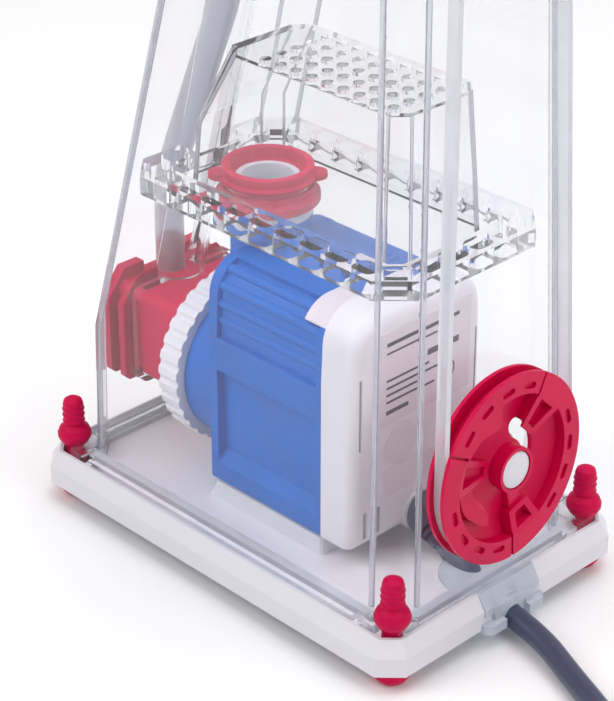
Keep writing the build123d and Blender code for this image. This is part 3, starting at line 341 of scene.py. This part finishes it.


# Lays milky strips along the upright edges as painted highlight and painted shade for the glints of the clear
# walls.
def add_painted_edge_glints(name, levels, radius):
    data = bpy.data.curves.new(name, "CURVE")
    data.dimensions = "3D"
    for spots in edge_spots(levels, EDGE_INSET * radius):
        spline = data.splines.new("POLY")
        spline.points.add(len(spots) - 1)
        for point, spot in zip(spline.points, spots):
            point.co = (*[c * MM for c in spot], 1.0)
    data.bevel_depth = radius * MM
    data.bevel_resolution = 4
    data.use_fill_caps = True
    data.materials.append(MATERIALS["painted_edge_glint"])
    edges = bpy.data.objects.new(name, data)
    bpy.context.collection.objects.link(edges)
    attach(edges, "skimmer")


add_painted_edge_glints("body_edge_glints", BODY_LEVELS, 1.05)
add_painted_edge_glints("dome_edge_glints", DOME_LEVELS, 0.6)


# ---- printed marks -----------------------------------------------------------------------

INK = moulded("label_ink", srgb(70, 66, 76), (0.4, 0.5), spread=0.03)
LABEL_X = 50.91
# Bars on the label, as their two ends in Y, height above the datum plane and thickness.
PRINT_BARS = [
    (-18.0, 20.0, 106.0, 1.6),
    (-18.0, 8.0, 102.4, 0.9),
    (-18.0, 4.0, 91.0, 1.0),
    (-18.0, 11.0, 88.0, 1.0),
    (-18.0, 1.0, 85.0, 1.0),
    (-18.0, 7.0, 82.0, 1.0),
    (-18.0, -6.0, 77.6, 1.8),
    (3.0, 20.0, 95.4, 2.6),
]
RING_Y, RING_Z = 14.0, 84.0
RING_OUTER, RING_INNER = 4.2, 3.5
RING_SIDES = 24


def print_face(bm, spots):
    bm.faces.new([bm.verts.new((LABEL_X * MM, y * MM, (z + DATUM_HEIGHT) * MM)) for y, z in spots])


def add_print():
    """Plain bars and one ring where the label carries its print."""
    bm = bmesh.new()
    for y0, y1, z, thick in PRINT_BARS:
        low, high = z - thick / 2, z + thick / 2
        print_face(bm, [(y0, low), (y1, low), (y1, high), (y0, high)])
    turns = [i * 2 * math.pi / RING_SIDES for i in range(RING_SIDES)]
    ring = [(math.cos(turn), math.sin(turn)) for turn in turns]
    for i in range(RING_SIDES):
        a, b = ring[i], ring[(i + 1) % RING_SIDES]
        corners = [(RING_OUTER, a), (RING_OUTER, b), (RING_INNER, b), (RING_INNER, a)]
        print_face(bm, [(RING_Y + r * spot[0], RING_Z + r * spot[1]) for r, spot in corners])
    mesh = bpy.data.meshes.new("label_print")
    bm.to_mesh(mesh)
    bm.free()
    mesh.materials.append(INK)
    print_marks = bpy.data.objects.new("label_print", mesh)
    bpy.context.collection.objects.link(print_marks)
    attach(print_marks, "skimmer")


add_print()


# ---- stage ------------------------------------------------------------------------------

FLOOR_HALF = 6.0
LIGHT_AIM = Vector((0, 0, 0.12))


def add_floor():
    mesh = bpy.data.meshes.new("floor")
    corners = [(-1, -1), (1, -1), (1, 1), (-1, 1)]
    mesh.from_pydata([(x * FLOOR_HALF, y * FLOOR_HALF, 0) for x, y in corners], [], [(0, 1, 2, 3)])
    floor = bpy.data.objects.new("floor", mesh)
    bpy.context.collection.objects.link(floor)
    mat, tree, shader, _ = fresh("floor")
    colours = ramp(tree, noise(tree, 2.0), (0.93, 0.93, 0.94, 1), (0.95, 0.95, 0.96, 1))
    tree.links.new(colours, shader.inputs["Base Color"])
    shader.inputs["Roughness"].default_value = 0.6
    mesh.materials.append(mat)


def add_light(name, place, size, watts, colour=(1, 1, 1)):
    data = bpy.data.lights.new(name, "AREA")
    data.shape = "RECTANGLE"
    data.size, data.size_y = size
    data.energy = watts
    data.color = colour
    light = bpy.data.objects.new(name, data)
    light.location = place
    light.rotation_euler = (Vector(place) - LIGHT_AIM).to_track_quat("Z", "Y").to_euler()
    bpy.context.collection.objects.link(light)


def add_world():
    world = bpy.data.worlds.new("studio")
    world.use_nodes = True
    tree = world.node_tree
    tree.nodes.clear()
    out = tree.nodes.new("ShaderNodeOutputWorld")
    back = tree.nodes.new("ShaderNodeBackground")
    back.inputs[1].default_value = 0.55
    coords = tree.nodes.new("ShaderNodeTexCoord")
    split = tree.nodes.new("ShaderNodeSeparateXYZ")
    tree.links.new(coords.outputs["Generated"], split.inputs[0])
    colours = ramp(tree, split.outputs["Z"], (0.70, 0.72, 0.78, 1), (1, 1, 1, 1), 0.0, 0.5)
    tree.links.new(colours, back.inputs[0])
    tree.links.new(back.outputs[0], out.inputs[0])
    bpy.context.scene.world = world


add_floor()
add_world()
add_light("key", (-0.5, -1.2, 1.3), (0.9, 0.9), 9.6)
add_light("side", (1.3, 0.1, 0.8), (0.5, 1.0), 4.8)
add_light("top", (0.1, 0.3, 1.6), (1.4, 1.4), 13)
bpy.context.scene.view_settings.view_transform = "Standard"
